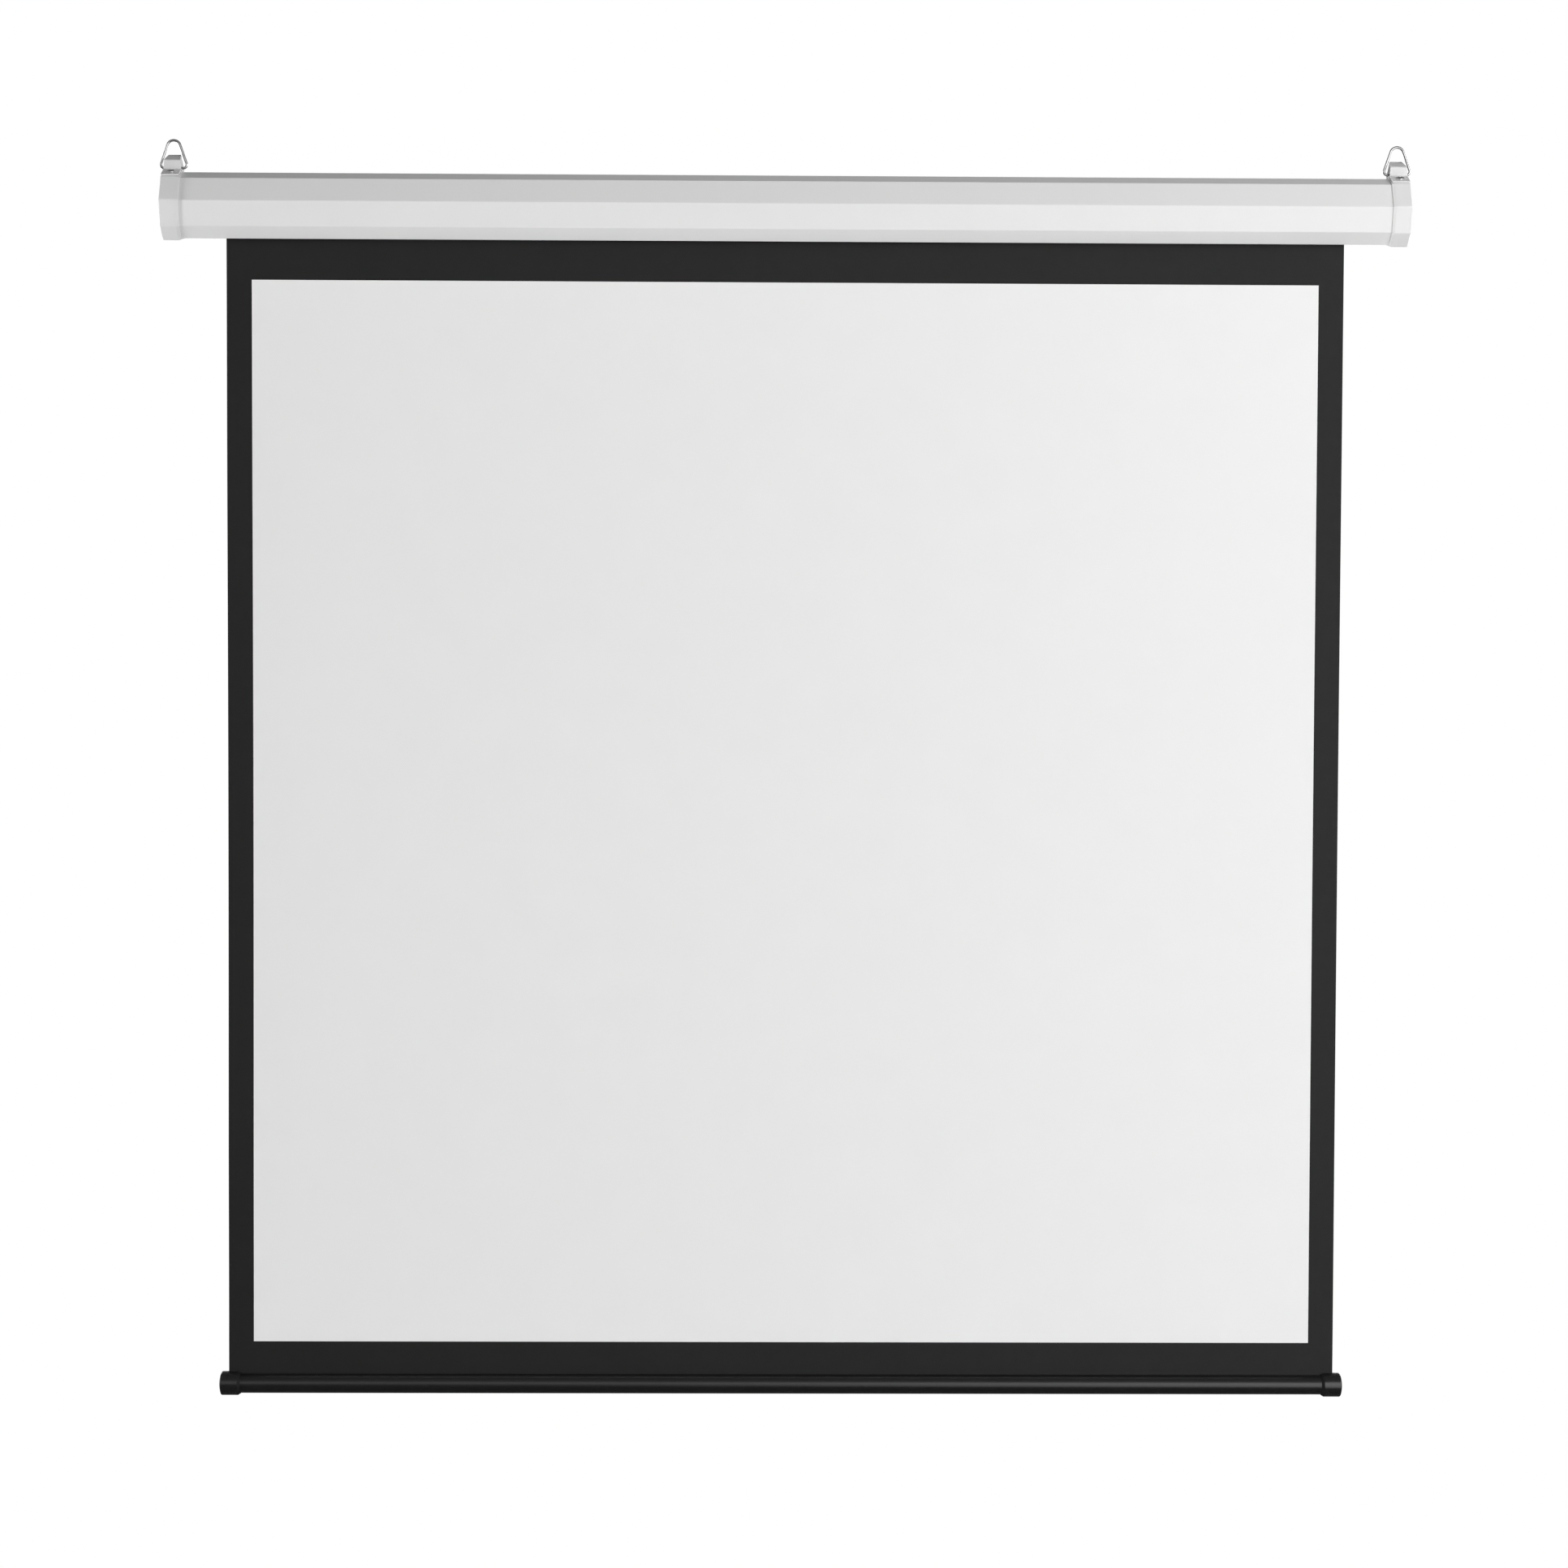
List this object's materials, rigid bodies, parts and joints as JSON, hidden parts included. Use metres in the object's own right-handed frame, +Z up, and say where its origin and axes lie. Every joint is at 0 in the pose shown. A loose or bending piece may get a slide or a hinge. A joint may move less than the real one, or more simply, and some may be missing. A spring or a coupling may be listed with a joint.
{
  "type": "motorized projection screen",
  "caption": "Hanging electric projection screen: faceted white casing with a motor roller, black-bordered matt white fabric, round black weight bar and swinging wire rings at the ends.",
  "frame": {"origin": "at mid length, in the plane of the end caps' backs, level with the inside of the ring crowns, where two hooks hold the screen up", "axes": "+Z up, +X along the casing to the viewer's right, +Y towards the wall; the viewer stands on the -Y side"},
  "size_m": [1.787, 0.1004, 1.8013],
  "materials": {
    "white_paint": "fine satin powder coat",
    "white_plastic": "satin moulded",
    "strap_paint": "satin",
    "chrome": "polished",
    "zinc_steel": "zinc plated",
    "black_rubber": "matt",
    "grey_nylon": "moulded",
    "aluminium_tube": "mill finish",
    "screen_cloth": "matt white, with a matt black border",
    "black_cloth": "matt",
    "black_paint": "satin",
    "black_plastic": "satin moulded"
  },
  "bodies": {
    "casing": {"casing_shell": "white_paint", "end_cap_left": "white_plastic", "end_cap_right": "white_plastic", "hanging_bracket_left": "strap_paint", "hanging_bracket_right": "strap_paint", "bracket_screw_left": "chrome", "bracket_screw_right": "chrome", "bracket_nut_left": "zinc_steel", "bracket_nut_right": "zinc_steel", "cable_grommet": "black_rubber", "motor_bracket": "zinc_steel", "motor_bracket_screw_front": "zinc_steel", "motor_bracket_screw_rear": "zinc_steel", "idler_bracket": "zinc_steel", "idler_bracket_screw_front": "zinc_steel", "idler_bracket_screw_rear": "zinc_steel", "idler_bush": "grey_nylon", "motor_head": "black_plastic", "motor_body": "zinc_steel", "motor_retaining_clip": "zinc_steel", "screen_fabric": "screen_cloth"},
    "roller": {"roller_tube": "aluminium_tube", "fabric_wrap": "black_cloth", "motor_crown_ring": "grey_nylon", "drive_wheel": "grey_nylon", "drive_shaft": "zinc_steel", "drive_wheel_clip": "zinc_steel", "idler_plug": "grey_nylon", "idler_pin": "zinc_steel"},
    "bottom_bar": {"bottom_bar": "black_paint", "bar_cap_left": "black_plastic", "bar_cap_right": "black_plastic", "hem_rod": "zinc_steel"},
    "ring_left": {"hanging_ring_left": "chrome"},
    "ring_right": {"hanging_ring_right": "chrome"}
  },
  "joints": [
    {"name": "screen_travel", "type": "slide", "parent": "casing", "child": "bottom_bar", "axis": [0, 0, 1], "range_m": [0, 1.619], "deforming": ["screen_fabric"]},
    {"name": "roller_turn", "type": "hinge", "parent": "casing", "child": "roller", "pos_m": [0, -0.03375, -0.08885], "axis": [1, 0, 0], "range_deg": [-3780, 0]},
    {"name": "ring_left_swing", "type": "hinge", "parent": "casing", "child": "ring_left", "pos_m": [-0.87325, -0.05162, -0.0377], "axis": [1, 0, 0], "range_deg": [-90, 90]},
    {"name": "ring_right_swing", "type": "hinge", "parent": "casing", "child": "ring_right", "pos_m": [0.87325, -0.05162, -0.0377], "axis": [1, 0, 0], "range_deg": [-90, 90]}
  ],
  "couplings": [
    {"joint": "roller_turn", "follows": "screen_travel", "rad_per_m": -40.7}
  ]
}
